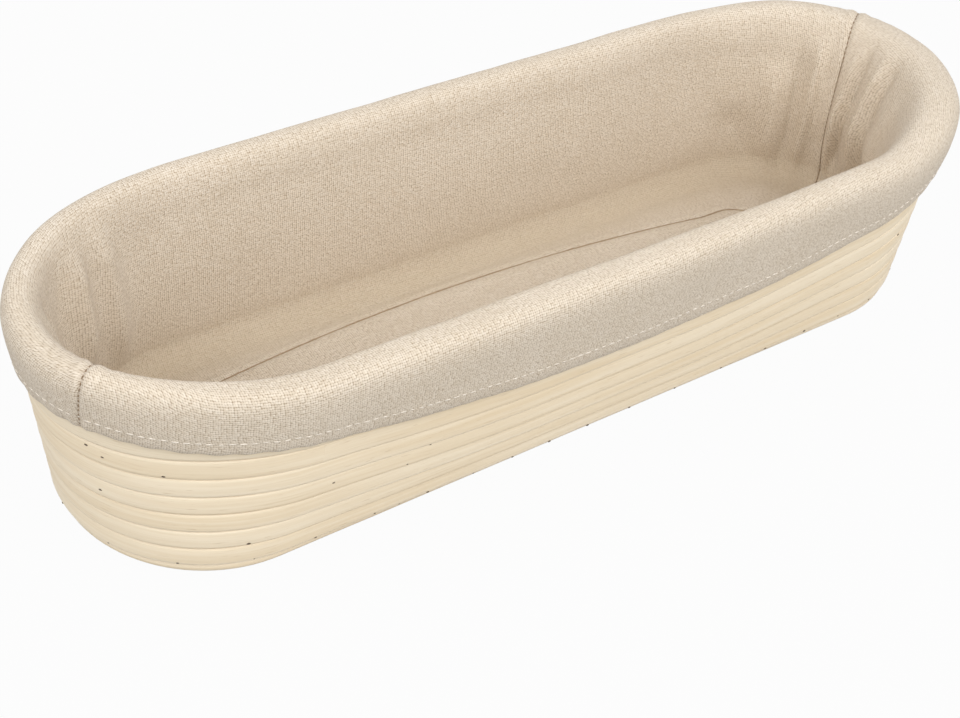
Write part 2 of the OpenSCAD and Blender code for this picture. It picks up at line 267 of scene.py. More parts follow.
# %% [markdown]
# ## Peeled cane
# Cane is peeled and pale, with fibres that run along it. Where two turns meet, the colour is painted
# a little warmer and darker as shade in the groove, most of all round the ends, where bending opens
# the grooves. The sweep further down leaves three attributes on the mesh: run, the length along the
# cane, skin, the place round its section, and groove, how open the groove is and so how much painted
# shade it gets. Stretching a noise along run gives fibres that follow every bend, which no flat projection
# could do.

# %% Peeled cane
cane, tree, shader = finish_named("peeled_cane")
run, open_groove = attribute(tree, "run"), attribute(tree, "groove")
skin = attribute(tree, "skin", "Vector")
skin_parts = add(tree, "ShaderNodeSeparateXYZ", {"Vector": skin})
around = arrows("MULTIPLY", skin, (1, 1, 0))


def along_cane(length_scale, round_scale):
    """A place whose third axis is the cane's length and the others its section."""
    length = vector(0.0, 0.0, times(run, length_scale))
    return arrows("ADD", scaled(around, round_scale), length)


fibres = grainy(along_cane(14, 7.0), 1.0, detail=3.0, roughness=0.6)
fine_fibres = grainy(along_cane(55, 26.0), 1.0, detail=2.0)
bands = grainy(along_cane(5, 0.9), 1.0, detail=1.0)
pores = grainy(along_cane(150, 22.0), 1.0, detail=1.0)
meeting = calc("ABSOLUTE", skin_parts.outputs["Y"])
groove_shade = spread(calc("ADD", meeting, times(fibres, 0.10)), 0.72, 1.06)

colour = tint(spread(bands, 0.3, 0.7), screen(231, 211, 178), screen(240, 225, 199))
colour = tint(spread(fibres, 0.35, 0.72, 0.0, 0.55), colour, screen(248, 235, 212))
colour = tint(spread(fine_fibres, 0.56, 0.80, 0.0, 0.45), colour, screen(214, 190, 154))
colour = tint(spread(pores, 0.66, 0.78, 0.0, 0.35), colour, screen(188, 158, 118))
# painted shade: a darker, warmer colour in the groove where two turns meet, strongest round the ends
colour = tint(times(groove_shade, open_groove), colour, screen(205, 172, 128))
relief = calc("ADD", times(fibres, 0.6), times(fine_fibres, 0.4))
dress(shader, colour, spread(fibres, 0.3, 0.7, 0.62, 0.48), relief, 0.55, 0.18 * MM,
      {"Specular IOR Level": 0.35})
print("material", cane.name, "with", len(tree.nodes), "nodes")

# %% [markdown]
# ## A tree that sweeps a section along a path
# A wound cane is a path with a section that follows it, which is what Curve to Mesh does. The
# path comes in as a chain of edges with a thickness at each point. The section starts as a unit
# circle and is squared off by a power, because cane that is pressed together while damp gets
# flat sides with round corners. Z Up keeps the section upright all the way round. Where the wall
# has settled, the mark stretch makes the section a little higher or lower. The section's own Y axis
# points down after the sweep, so the attribute rise, the height in the section, has its sign turned.

# %% Sweep tree
def group_with(name, sizes):
    """A Geometry Nodes tree with a geometry input and the named inputs."""
    made = bpy.data.node_groups.new(name, "GeometryNodeTree")
    made.interface.new_socket("Geometry", in_out="OUTPUT", socket_type="NodeSocketGeometry")
    made.interface.new_socket("Geometry", in_out="INPUT", socket_type="NodeSocketGeometry")
    for label, kind in sizes.items():
        made.interface.new_socket(label, in_out="INPUT", socket_type="NodeSocket" + kind)
    return made, add(made, "NodeGroupInput").outputs


def store(geometry, name, value, kind):
    return result(geometry.id_data, "GeometryNodeStoreNamedAttribute",
                  {"Geometry": geometry, "Name": name, "Value": value},
                  data_type=kind, domain="POINT")


def mark(tree, name, kind="FLOAT"):
    return result(tree, "GeometryNodeInputNamedAttribute", {"Name": name}, data_type=kind)


def close_tree(geometry, material):
    """Realize Instances, smooth shading and Set Material end every tree."""
    tree = geometry.id_data
    whole = result(tree, "GeometryNodeRealizeInstances", {"Geometry": geometry})
    smooth = result(tree, "GeometryNodeSetShadeSmooth", {"Geometry": whole})
    dressed = result(tree, "GeometryNodeSetMaterial", {"Geometry": smooth, "Material": material})
    add(tree, "NodeGroupOutput", {"Geometry": dressed})


sweep, sizes = group_with("swept_section", {
    "Width": "Float", "Height": "Float", "Squareness": "Float", "Wobble": "Float",
    "Wobble Length": "Float", "Points": "Int", "Lies Flat": "Bool", "Seed": "Float",
    "Material": "Material"})
path = result(sweep, "GeometryNodeMeshToCurve", {"Mesh": sizes["Geometry"]})
path = result(sweep, "GeometryNodeSetCurveNormal", {"Curve": path}, mode="Z_UP")
length = add(sweep, "GeometryNodeSplineParameter").outputs["Length"]
path = store(path, "run", calc("MULTIPLY_ADD", sizes["Seed"], 3.7, length), "FLOAT")
circle = result(sweep, "GeometryNodeCurvePrimitiveCircle",
                {"Resolution": sizes["Points"], "Radius": 1.0})
unit = add(sweep, "ShaderNodeSeparateXYZ", {"Vector": result(sweep, "GeometryNodeInputPosition")})
upright = vector(unit.outputs["X"], unit.outputs["Y"])
sideways = vector(unit.outputs["Y"], unit.outputs["X"])
chosen = result(sweep, "GeometryNodeSwitch", {"Switch": sizes["Lies Flat"], "False": upright,
                                              "True": sideways}, input_type="VECTOR")
circle = store(circle, "skin", chosen, "FLOAT_VECTOR")
power = calc("DIVIDE", 2.0, sizes["Squareness"])
squared = []
for axis, extent in (("X", "Width"), ("Y", "Height")):
    pulled = calc("POWER", calc("ABSOLUTE", unit.outputs[axis]), power)
    half = times(sizes[extent], 0.5)
    squared.append(times(times(pulled, half), calc("SIGN", unit.outputs[axis])))
circle = store(circle, "rise", times(squared[1], -1.0), "FLOAT")
section = result(sweep, "GeometryNodeSetPosition",
                 {"Geometry": circle, "Position": vector(*squared)})
swept = result(sweep, "GeometryNodeCurveToMesh",
               {"Curve": path, "Profile Curve": section, "Scale": mark(sweep, "thick"),
                "Fill Caps": True})
place = scaled(result(sweep, "GeometryNodeInputPosition"),
               calc("DIVIDE", 1.0, sizes["Wobble Length"]))
uneven = result(sweep, "ShaderNodeTexNoise", {"Vector": place, "W": sizes["Seed"], "Scale": 1.0,
                "Detail": 1.0}, noise_dimensions="4D")
push = times(calc("SUBTRACT", uneven, 0.5), sizes["Wobble"])
moved = scaled(result(sweep, "GeometryNodeInputNormal"), push)
higher = times(mark(sweep, "rise"), mark(sweep, "stretch"))
moved = arrows("ADD", moved, vector(0.0, 0.0, higher))
swept = result(sweep, "GeometryNodeSetPosition", {"Geometry": swept, "Offset": moved})
close_tree(swept, sizes["Material"])
print("tree", sweep.name, "with", len(sweep.nodes), "nodes")

# %% [markdown]
# ## From a path to a finished piece
# A path is a mesh of points and edges, which can carry attributes for the tree to read. The
# modifier's inputs are set by their identifiers before anything is evaluated. Then the evaluated
# result is copied to a plain mesh, and the path with its modifier goes away.

# %% From a path to a finished piece
def chain(name, points, closed=False, edges=True, **marks):
    """A mesh of points, joined in order, with one attribute for each mark."""
    points = np.asarray(points, float) * MM
    count = len(points)
    links = [(i, i + 1) for i in range(count - 1)] + ([(count - 1, 0)] if closed else [])
    mesh = bpy.data.meshes.new(name)
    mesh.from_pydata(points.tolist(), links if edges else [], [])
    for label, values in marks.items():
        values = np.asarray(values, float)
        kind, field = ("FLOAT_VECTOR", "vector") if values.ndim == 2 else ("FLOAT", "value")
        mesh.attributes.new(label, kind, "POINT").data.foreach_set(field, values.ravel())
    return placed(name, mesh)


def grow(source, group, name, settings):
    """Runs a tree on the source and returns its result as a plain mesh piece."""
    modifier = source.modifiers.new(group.name, "NODES")
    modifier.node_group = group
    known = {item.name: item.identifier for item in group.interface.items_tree
             if item.in_out == "INPUT"}
    for label, value in settings.items():
        modifier[known[label]] = value
    shown = source.evaluated_get(bpy.context.evaluated_depsgraph_get())
    mesh = bpy.data.meshes.new_from_object(shown)
    bpy.data.objects.remove(source)
    mesh.name = name
    return placed(name, mesh)


def hand_over(piece, body, slot, *nodes):
    """Every piece rides on a body and may stand for nodes, whose frame parts it hides; the slot is not
    used.
    """
    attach(piece, body)
    if nodes:
        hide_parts(*nodes)
    print("%-24s %7d faces on %s" % (piece.name, len(piece.data.polygons), body))
    return piece


# %% [markdown]
# ## The wound wall
# A turn is counted in 24 stations: ten round the left end, two along the front, ten round the
# right end and two along the back. The cane climbs to the next level in the first half of the
# back run and lies level elsewhere. Five equal lengths of cane butt end to end, and the last one
# tapers off along the back. Where the wall is stretched or pressed by its settling, the section
# follows, so the turns keep touching; along the sides they are pressed flush.

# %% The wound wall
WALL_WIDE, WALL_HIGH, CANE_SQUARE = 7.9, 8.8, 6.5
START_LIFT, FLUSH = 0.15, 0.14
# how open the grooves are sets both how flush the turns lie and how much painted shade the grooves get
GROOVE_CLOSED, GROOVE_OPEN, GROOVE_FROM, GROOVE_FADE = 0.08, 0.80, 80, 70
LENGTHS, BUTT_GAP, END_RING, TAPER_STOP = 5, 0.001, 0.004, 1.14
FRONT, RIGHT, BACK, TURN = 10, 12, 22, 24
MIDDLE_FRONT, MIDDLE_BACK = 11.0, 23.0
END_ANGLE, END_STEP, RUN_STEP = 18, 0.2, 0.04
STATIONS = np.concatenate([np.arange(0, FRONT, END_STEP), np.arange(FRONT, RIGHT, RUN_STEP),
                           np.arange(RIGHT, BACK, END_STEP), np.arange(BACK, TURN, RUN_STEP)])


def place_on_turn(j):
    """Side and angle of a station, as spot() takes them."""
    if j <= FRONT:
        return -1.0, 90 + END_ANGLE * j
    if j <= RIGHT:
        return j - MIDDLE_FRONT, 270
    if j <= BACK:
        return 1.0, 270 + END_ANGLE * (j - RIGHT)
    return MIDDLE_BACK - j, 90


def open_at(x):
    """The groove is open round the ends and nearly closed along the sides; the same share sets how much
    painted shade the groove gets.
    """
    return between(GROOVE_CLOSED, GROOVE_OPEN, float(ease((abs(x) - GROOVE_FROM) / GROOVE_FADE)))


def wall_point(turn, j):
    """Middle of the cane at a station of a wall turn, and its marks."""
    last = turn == WALL_TURNS
    climb = float(ease(j - BACK))
    level = turn + (0.0 if last else climb)
    z = float(turn_height(level))
    if level < 1:
        z = between(WALL_HIGH / 2 + START_LIFT, float(turn_height(1)), level)
    thick = 1.0 - climb if last and j > BACK else 1.0
    z += WALL_HIGH / 2 * (1 - thick)
    side, angle = place_on_turn(j)
    x, y = spot(oval(level / WALL_TURNS), side, angle)
    sink, bulge = settled(x, z)
    below, above = (turn_height(level + step) for step in (-0.5, 0.5))
    stretch = float(above - settled(x, above)[0] - below + settled(x, below)[0]) / RISE - 1
    stretch += FLUSH * (GROOVE_OPEN - open_at(x)) * float(1 - ease((level - WALL_TURNS + 1) * 2))
    if level < 1:
        sink, stretch = sink * level, stretch * level
    return (x, y + math.copysign(bulge, y), z - sink), thick, stretch * thick, open_at(x)


def wall_path(strand):
    """One of five lengths; stations are counted on from turn to turn."""
    first, last = (round(n * WALL_TURNS * TURN / LENGTHS) for n in (strand - 1, strand))
    low = BACK - TURN if strand == 1 else first
    high = last - (TAPER_STOP if strand == LENGTHS else BUTT_GAP)
    stops = [TURN * turn + j for turn in range(-1, WALL_TURNS) for j in STATIONS]
    clear = 2.5 * END_RING
    inner = [n for n in stops if low + clear < n < high - clear]
    stops = [low, low + END_RING] + inner + [high - END_RING, high]
    return zip(*(wall_point(1 + int(n // TURN), n % TURN) for n in stops))


for strand in range(1, LENGTHS + 1):
    points, thick, stretch, groove = wall_path(strand)
    length = chain("wall_path", points, thick=thick, stretch=stretch, groove=groove)
    piece = grow(length, sweep, "cane_wall_%d" % strand, {
        "Width": WALL_WIDE * MM, "Height": WALL_HIGH * MM, "Squareness": CANE_SQUARE,
        "Wobble": 0.30 * MM, "Wobble Length": 26 * MM, "Points": 32, "Lies Flat": False,
        "Seed": 1.0, "Material": cane})
    hand_over(piece, "basket", "cane", "wall_cane_%d" % strand)

# %% [markdown]
# ## The wound floor
# The floor is a straight cane in the middle and six turns laid flat round it. Each turn steps out
# to the next one in the second half of the back run. The turns lie side by side, so here the painted
# groove shade belongs to the sides of the section and not to its top: that is what Lies Flat says.
# The outermost turn carries the wall and shows as the basket's lower edge, pale and without painted groove
# shade.

# %% The wound floor
FLOOR_WIDE, FLOOR_HIGH, EDGE_HIGH, FLOOR_SQUARE = FLOOR_PITCH, 6.8, 5.6, 2.4
# FLOOR_GROOVE is how much painted groove shade the inner floor turns get
EDGE_INSET, FLOOR_GROOVE = 1.0, 0.7
FLOOR_START, FLOOR_STOP = MIDDLE_BACK + 0.14, BACK - 0.02


def floor_point(turn, j):
    """Middle of the cane at a station of a floor turn, and its marks."""
    step = float(ease(j - MIDDLE_BACK))
    radius = FLOOR_PITCH * (turn + step)
    thick = 1.0
    if turn == 0:
        thick = float(np.clip(j - MIDDLE_BACK, 0, 1))
        radius = FLOOR_PITCH * (1 + thick) / 2
    side, angle = place_on_turn(j)
    outer = float(ease(turn + step - FLOOR_TURNS + 1))
    x, y = spot((BASE_STRAIGHT / 2, radius, radius), side, angle, -EDGE_INSET * outer)
    high = between(FLOOR_HIGH, EDGE_HIGH, outer)
    return (x, y, high / 2 * thick), thick, high / FLOOR_HIGH - 1, FLOOR_GROOVE * (1 - outer)


stops = [(0, j) for j in STATIONS if j > FLOOR_START]
stops += [(turn, j) for turn in range(1, FLOOR_TURNS + 1) for j in STATIONS
          if turn < FLOOR_TURNS or j < BACK]
stops.append((FLOOR_TURNS, FLOOR_STOP))
points, thick, stretch, groove = zip(*(floor_point(turn, j) for turn, j in stops))
floor_look = {"Width": FLOOR_WIDE * MM, "Height": FLOOR_HIGH * MM, "Squareness": FLOOR_SQUARE,
              "Wobble": 0.2 * MM, "Wobble Length": 26 * MM, "Points": 20, "Lies Flat": True,
              "Seed": 7.0, "Material": cane}
coil = grow(chain("floor_path", points, thick=thick, stretch=stretch, groove=groove),
            sweep, "cane_floor", floor_look)
hand_over(coil, "basket", "cane", "floor_cane")

core_half, core_round = BASE_STRAIGHT / 2, FLOOR_WIDE / 2
tip = core_half + core_round * np.cos(np.linspace(0.15, 1.57, 9))
across = np.concatenate([-tip, np.linspace(-core_half, core_half, 60)[1:-1], tip[::-1]])
beyond = np.clip(np.abs(across) - core_half, 0, None) / core_round
rounding = np.sqrt(np.clip(1 - beyond ** 2, 0.02, 1))
points = [(x, 0.0, FLOOR_HIGH / 2) for x in across]
core = grow(chain("core_path", points, thick=rounding, groove=np.full(len(across), FLOOR_GROOVE)),
            sweep, "cane_core", dict(floor_look, Seed=9.0))
hand_over(core, "basket", "cane", "floor_core")

# %% [markdown]
# ## Nails
# The nails sit inside the cane, as the frame has them, and keep their own shape. They only get a
# dull steel with a fine grain.

# %% Steel of the nails
steel, tree, shader = finish_named("dull_steel")
where = add(tree, "ShaderNodeTexCoord").outputs["Object"]
spots = grainy(where, 900.0, detail=3.0)
colour = tint(spread(spots, 0.35, 0.65), screen(74, 60, 48), screen(126, 112, 96))
dress(shader, colour, spread(spots, 0.3, 0.7, 0.35, 0.7), spots, 0.4, 0.1 * MM, {"Metallic": 0.6})
nail_nodes = [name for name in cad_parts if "nails" in name]
for name in nail_nodes:
    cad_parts[name].data.materials.clear()
    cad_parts[name].data.materials.append(steel)
print("steel on", ", ".join(nail_nodes))

# %% [markdown]
# ## Points of the nails
# What shows on the outside is small: a dark point where a nail comes near the surface, in a groove
# or along the lower edge. The tree sets a low, squashed bead on every point of a mesh. Two
# attributes turn it to face out of the wall and along the groove, and a random value from a fixed
# seed varies its size.

# %% Points of the nails
def random_share(seed, low, high):
    """A random number for each point; the limits for numbers are sockets 2 and 3."""
    return add(seed.id_data, "FunctionNodeRandomValue", {2: low, 3: high, "Seed": seed},
               data_type="FLOAT").outputs[1]


def lay_beads(points, rings, size, material, **axes):
    """Sets a bead on every point, turned by a main axis and a second one, and closes the tree."""
    tree = points.id_data
    bead = result(tree, "GeometryNodeMeshUVSphere", {"Segments": 8, "Rings": rings, "Radius": 0.5})
    (main, main_way), (second, second_way) = axes.items()
    turned = result(tree, "FunctionNodeAxesToRotation",
                    {"Primary Axis": main_way, "Secondary Axis": second_way},
                    primary_axis=main, secondary_axis=second)
    beads = result(tree, "GeometryNodeInstanceOnPoints",
                   {"Points": points, "Instance": bead, "Rotation": turned, "Scale": size})
    close_tree(beads, material)


scatter, sizes = group_with("nail_points", {
    "Length": "Float", "Breadth": "Float", "Depth": "Float", "Seed": "Int",
    "Material": "Material"})
size = scaled(vector(sizes["Length"], sizes["Breadth"], sizes["Depth"]),
              random_share(sizes["Seed"], 0.5, 1.2))
lay_beads(sizes["Geometry"], 5, size, sizes["Material"],
          Z=mark(scatter, "facing", "FLOAT_VECTOR"), X=mark(scatter, "groove_way", "FLOAT_VECTOR"))
BURIED, EDGE_LEVEL = 0.02, 0.62
FRONT_POINTS, END_POINTS, BACK_POINTS = 13, 7, 11


def wall_mark(j, level):
    """A nail point on the wall, at a station and a level counted in turns."""
    side, angle = place_on_turn(j)
    turn = max(1, round(level))
    shape = oval(turn / WALL_TURNS)
    x, y = spot(shape, side, angle, WALL_WIDE / 2 - BURIED)
    near = spot(shape, side, angle, WALL_WIDE / 2 - BURIED + 1)
    facing = Vector((near[0] - x, near[1] - y, 0.0)).normalized()
    sink, bulge = settled(x, turn_height(turn))
    z = turn_height(turn) + RISE * (level - turn) - sink
    return (x, y + math.copysign(bulge, y), z), facing, facing.cross(Vector((0, 0, 1)))


front_edge = [FRONT + 2 * (i + 0.5 + 0.25 * math.sin(7 * i)) / FRONT_POINTS
              for i in range(FRONT_POINTS)]
end_edge = [start + 10 * (i + 0.5) / END_POINTS for start in (0, RIGHT) for i in range(END_POINTS)]
back_edge = [BACK + 2 * (i + 0.5) / BACK_POINTS for i in range(BACK_POINTS)]
on_wall = [(6.3, 6.25), (6.6, 5.95), (7.6, 5.65), (6.45, 3.9), (10.07, 4.0), (10.3, 3.65),
           (10.37, 4.35), (9.1, 1.65), (13.2, 4.35), (15.0, 3.35), (2.4, 4.65), (22.8, 2.35), (23.3, 5.35)]
on_wall += [(j, EDGE_LEVEL) for j in front_edge + end_edge + back_edge]
points, faces_out, ways = zip(*(wall_mark(j, level) for j, level in on_wall))
dots = grow(chain("nail_marks", points, edges=False, facing=faces_out, groove_way=ways),
            scatter, "nail_points", {"Length": 1.3 * MM, "Breadth": 0.7 * MM, "Depth": 0.35 * MM,
                                     "Seed": 3, "Material": steel})
hand_over(dots, "basket", "nail")

# %% [markdown]
# ## Unbleached linen
# Linen is a plain weave of uneven threads: each thread goes over one and under the next. The
# weave is computed from the cloth's own UV map, which is in metres, so a thread is 0.8 mm wide
# everywhere. The product of two sines says which thread is on top at a crossing. Every thread gets
# its own shade and thickness from its number. A Voronoi texture with little randomness makes the
# crossings uneven: each cell has its own tone, and the gaps between the cells are dark.

# %% Unbleached linen
THREAD = 0.82 * MM


def weave_linen(name, light, middle, dark, gap):
    linen, tree, shader = finish_named(name)
    flat = result(tree, "ShaderNodeUVMap", uv_map="cloth")
    wander = add(tree, "ShaderNodeTexNoise", {"Vector": flat, "Scale": 70.0, "Detail": 3.0})
    shift = arrows("SUBTRACT", wander.outputs["Color"], (0.5, 0.5, 0.5))
    laid = scaled(arrows("ADD", flat, scaled(shift, 1.6 * THREAD)), 1 / THREAD)
    parts = add(tree, "ShaderNodeSeparateXYZ", {"Vector": laid})
    u, v = parts.outputs["X"], parts.outputs["Y"]
    wave_u, wave_v = (calc("SINE", times(x, math.pi)) for x in (u, v))
    over = times(times(wave_u, wave_v), 0.45)

    def thread(across, along, stretch):
        """Shade and thickness of the thread that runs along one axis, as one value."""
        number = calc("FLOOR", across)
        lane = vector(times(along, stretch), times(number, 7.31))
        uneven = grainy(lane, 1.0, detail=2.0)
        own = add(tree, "ShaderNodeTexWhiteNoise", {"W": number},
                  noise_dimensions="1D").outputs["Value"]
        return calc("ADD", times(uneven, 0.75), times(own, 0.25))

    def ridge(wave, lift, own):
        """Height of a thread, which is lifted where it lies on top."""
        return times(calc("ABSOLUTE", wave), calc("ADD", lift, times(own, 0.5)))

    weft, warp = thread(v, u, 0.11), thread(u, v, 0.09)
    weft_high = ridge(wave_v, calc("ADD", 0.55, over), weft)
    warp_high = ridge(wave_u, calc("SUBTRACT", 0.55, over), warp)
    on_top = spread(calc("SUBTRACT", weft_high, warp_high), -0.08, 0.08)
    shade = result(tree, "ShaderNodeMix", {"Factor": on_top, 2: warp, 3: weft})
    height = calc("MAXIMUM", weft_high, warp_high)

    cells = add(tree, "ShaderNodeTexVoronoi", {"Vector": laid, "Scale": 1.0, "Randomness": 0.32},
                voronoi_dimensions="2D")
    own_cell = add(tree, "ShaderNodeSeparateColor", {"Color": cells.outputs["Color"]}).outputs["Red"]
    from_middle = cells.outputs["Distance"]
    cloudy = grainy(flat, 28.0, detail=3.0)
    fleck = grainy(vector(times(u, 0.22), times(v, 0.8)), 1.0, detail=1.0)
    colour = tint(spread(shade, 0.1, 0.9), dark, light)
    colour = tint(times(own_cell, 0.6), colour, middle)
    colour = tint(spread(cloudy, 0.35, 0.7, 0.0, 0.2), colour, light)
    colour = tint(spread(from_middle, 0.36, 0.70, 0.0, 0.82), colour, gap)
    colour = tint(spread(fleck, 0.775, 0.81, 0.0, 0.55), colour, screen(132, 108, 82))
    # painted shade: the linen is darkened in the corner between wall and floor
    colour = tint(times(attribute(tree, "corner"), 0.5), colour, screen(190, 173, 147))
    relief = calc("SUBTRACT", times(height, 0.5), from_middle)
    dress(shader, colour, spread(shade, 0.3, 0.7, 0.95, 0.8), relief, 0.7, 0.25 * MM,
          {"Sheen Weight": 0.12, "Sheen Roughness": 0.5, "Specular IOR Level": 0.2})
    print("material", name, "with", len(tree.nodes), "nodes")
    return linen


linen = weave_linen("unbleached_linen", screen(231, 220, 205), screen(204, 188, 166),
                    screen(220, 207, 188), screen(150, 128, 101))

# %% [markdown]
# ## Laying cloth
# A liner panel is a grid. Its columns follow the oval from one end seam to the other, and its rows
# follow the cloth: from the bottom piece over the floor, up the inner wall, over the rim, down the
# apron and round the elastic. The back panel is the front one turned by half a turn. The seams
# lie a little past the tips and lean, so the angle of a column depends on the height.
# How low the hem hangs and how full the roll stands change softly on the way round the basket.

# %% The way round the basket
SHORT_END, LONG_SIDE, LONG_END = 56, 116, 96
MIDDLE_COLUMN = SHORT_END + LONG_SIDE // 2
SEAM_TURN, BED_TURN = 25, 5


def columns(facing):
    """Sides of a panel's columns and their way, from 0 at one end seam to 2 at the other."""
    side = np.concatenate([np.full(SHORT_END, -1.0), np.linspace(-1, 1, LONG_SIDE), np.ones(LONG_END)])
    way = np.concatenate([np.linspace(0, 1, SHORT_END + 1)[:-1], np.ones(LONG_SIDE),
                          np.linspace(1, 2, LONG_END + 1)[1:]])
    return side * facing, way


def angles(way, past_tip, facing):
    """Angles of the columns in degrees, where the seams lie past the tips by an angle."""
    short = 180 + past_tip + (90 - past_tip) * way
    long = 270 + (90 + past_tip) * (way - 1)
    return np.where(way < 1, short, long) + (0 if facing > 0 else 180)


def round_basket(facing, stops, values):
    """A soft value at each column; stops run over left end, front, right end and back, 0 to 4."""
    steps = np.arange(0, 4, 0.005)
    raw = np.interp(steps, stops, values, period=4)
    window = np.hanning(35)[1:-1]
    lap = len(window) // 2
    soft = np.convolve(np.concatenate([raw[-lap:], raw, raw[:lap]]), window / window.sum(), "valid")
    side, way = columns(facing)
    stop = np.where(way < 1, 1 - (1 - way) * (90 - SEAM_TURN) / 180,
                    2 + (way - 1) * (90 + SEAM_TURN) / 180)
    stop = np.where(way == 1, 1.5 + facing * side / 2, stop)
    return np.interp(stop + (0 if facing > 0 else 2), steps, soft, period=4)


def hem_shift(facing):
    """How far the hem rises above its plain height."""
    return round_basket(facing,
                        [0, 0.5, 0.667, 1, 1.125, 1.25, 1.375, 1.5, 1.625, 1.75, 1.875, 2,
                         2.25, 2.5, 2.75, 3, 3.25, 3.5, 3.75],
                        [3, 8.5, 10.5, 3.7, -1.2, -5, -7.2, -8, -7.4, -5.8, -3, 1,
                         9, 12, 9, 3, -0.8, -2, -0.8])


def fullness(facing):
    """How full the roll stands: 0 is tight on the cane, 1 is loose."""
    return round_basket(facing, [0, 0.5, 0.73, 0.81, 1.55, 1.9, 3, 3.5],
                        [0.9, 1, 1, 0, 0, 1, 1, 0.8])


def puff(facing):
    """How far the roll hangs inwards over the wall."""
    return round_basket(facing, [0, 0.5, 1, 1.8, 2.05, 2.2, 2.35, 2.55, 2.8, 3],
                        [0, 1, 0, 0, 2.5, 10, 13, 11, 3, 0])


print("hem from %.1f to %.1f mm" % (hem_shift(1).min(), hem_shift(1).max()))

# %% [markdown]
# ## The cloth's profile
# Seen from the end, a panel is one line: a soft bend at the foot of the wall, the inner wall, the
# roll over the rim, the apron, and the hem turned up round the elastic. Each part is a few rows of
# offsets from the wall's middle line and of heights. A power of sine and cosine makes the roll
# squarer or rounder.

# %% The cloth's profile
CLOTH, SLACK = 0.7, 1.8
STAND, ROLL_OUT, APRON_OUT, APRON_Z, OUTER_SHOULDER, OUTER_POWER = 5.3, 7.8, 7.1, 60.0, 14.0, 0.7
# Each pair: where the roll is tight on the cane and where it is loose
TOP_STAND, ROLL_UP, SHOULDER, INNER_POWER = (4.7, 5.3), (5.15, 7.1), (5.0, 16.0), (0.55, 0.83)
FOOT_Z, FOOT_BEND, HEM_Z = 7.55, 9.0, 55.65
HEM_FOLD, HEM_DEEP, HEM_TUCK, HEM_ROUND, BAND_UP = 4.85, 4.9, 4.7, 1.0, 4.45
BED = (124.75, 18.0, 28.25)
BOW, BOW_LOSS, BOW_REACH, ASKEW = 1.15, 0.30, 115, 0.024
DRAWN, DRAWN_FROM, DRAWN_FADE = 0.8, 100, 60
ROWS = {"foot": 22, "bend": 10, "inner": 56, "roll": 24, "apron": 20, "turn": 14, "inside": 4}
FIRST_ROW = dict(zip(ROWS, np.cumsum([0] + list(ROWS.values()))))


def rows_of(part):
    """Steps from 0 up to 1 for the rows of one part of the profile."""
    return np.arange(1, ROWS[part] + 1)[:, None] / ROWS[part]


def bowed(x, y):
    """The bottom piece's long sides are bowed, and it is sewn in a little askew."""
    return y * (BOW - BOW_LOSS * np.clip((x / BOW_REACH) ** 2, 0, 1)) - ASKEW * x


def draw_in(x):
    """The elastic draws the apron closer to the cane round the left end."""
    return DRAWN * ease((-x - DRAWN_FROM) / DRAWN_FADE)


def wall_bulge(x):
    """How far the wall bulges at the height of the apron."""
    return settled(x, np.full(x.shape, APRON_Z))[1]


def profile(facing):
    """Offset from the wall's middle line and height at every row and column above the foot."""
    side, way = columns(facing)
    x = spot(oval(1), side, angles(way, SEAM_TURN, facing))[0]
    full, hem = fullness(facing), HEM_Z + hem_shift(facing) + HEM_FOLD
    rim = RIM_Z - rim_dip(x)
    top_stand, roll_up = between(*TOP_STAND, full) + puff(facing), between(*ROLL_UP, full)
    shoulder = between(*SHOULDER, full) + 1.5 * puff(facing)
    roll_out = ROLL_OUT + wall_bulge(x) * 0.6 - 1.6 * draw_in(x)
    apron_out = APRON_OUT + wall_bulge(x) - draw_in(x)
    level = np.ones(x.shape)

    a = rows_of("bend") * np.pi / 2
    parts = [(-(STAND + FOOT_BEND * (1 - np.sin(a))) * level,
              (FOOT_Z + FOOT_BEND * (1 - np.cos(a))) * level)]
    t = rows_of("inner")
    parts.append((-STAND - SLACK * np.sin(np.pi * t) + (STAND - top_stand) * ease(t),
                  between(FOOT_Z + FOOT_BEND, rim + roll_up - shoulder, t)))
    a = rows_of("roll") * np.pi
    across, high = np.cos(a), np.sin(a)
    inner = a < np.pi / 2
    power = np.where(inner, between(*INNER_POWER, full), OUTER_POWER)
    across = np.sign(across) * np.abs(across) ** power
    high = np.where(inner, shoulder, OUTER_SHOULDER) * (np.abs(high) ** power - 1)
    parts.append(((roll_out - top_stand) / 2 - (roll_out + top_stand) / 2 * across,
                  rim + roll_up + high))
    t = rows_of("apron")
    parts.append((between(roll_out, apron_out, t ** 1.6),
                  between(rim + roll_up - OUTER_SHOULDER, hem, t)))
    a = rows_of("turn") * np.pi
    parts.append((apron_out - HEM_ROUND + HEM_ROUND * np.cos(a), hem - HEM_DEEP * np.sin(a) ** 0.9))
    t = rows_of("inside")
    parts.append((apron_out - 2 * HEM_ROUND + 0 * t, hem + HEM_TUCK * t))
    return [np.concatenate([part[i] for part in parts]) for i in (0, 1)]


print("a panel has", sum(ROWS.values()), "rows and", len(columns(1)[0]), "columns")

# %% [markdown]
# ## From profile to grid
# The profile goes round the oval and becomes a grid of points; the foot on the floor reaches from
# the bottom piece's edge to the wall. A grid turns into a mesh of quads with a UV map in metres, and
# Solidify gives it the thickness of cloth.

# %% From profile to grid
def bed_spot(facing):
    """The bottom piece's edge at each column."""
    side, way = columns(facing)
    x, y = spot(BED, side, angles(way, BED_TURN, facing))
    return x, bowed(x, y)


def seam_lean(z):
    """How far past the tip the end seams lie, in degrees: further at the rim than at the foot."""
    return np.interp(z, [8, 14, 53, 85], [18, 19, 23, 26])


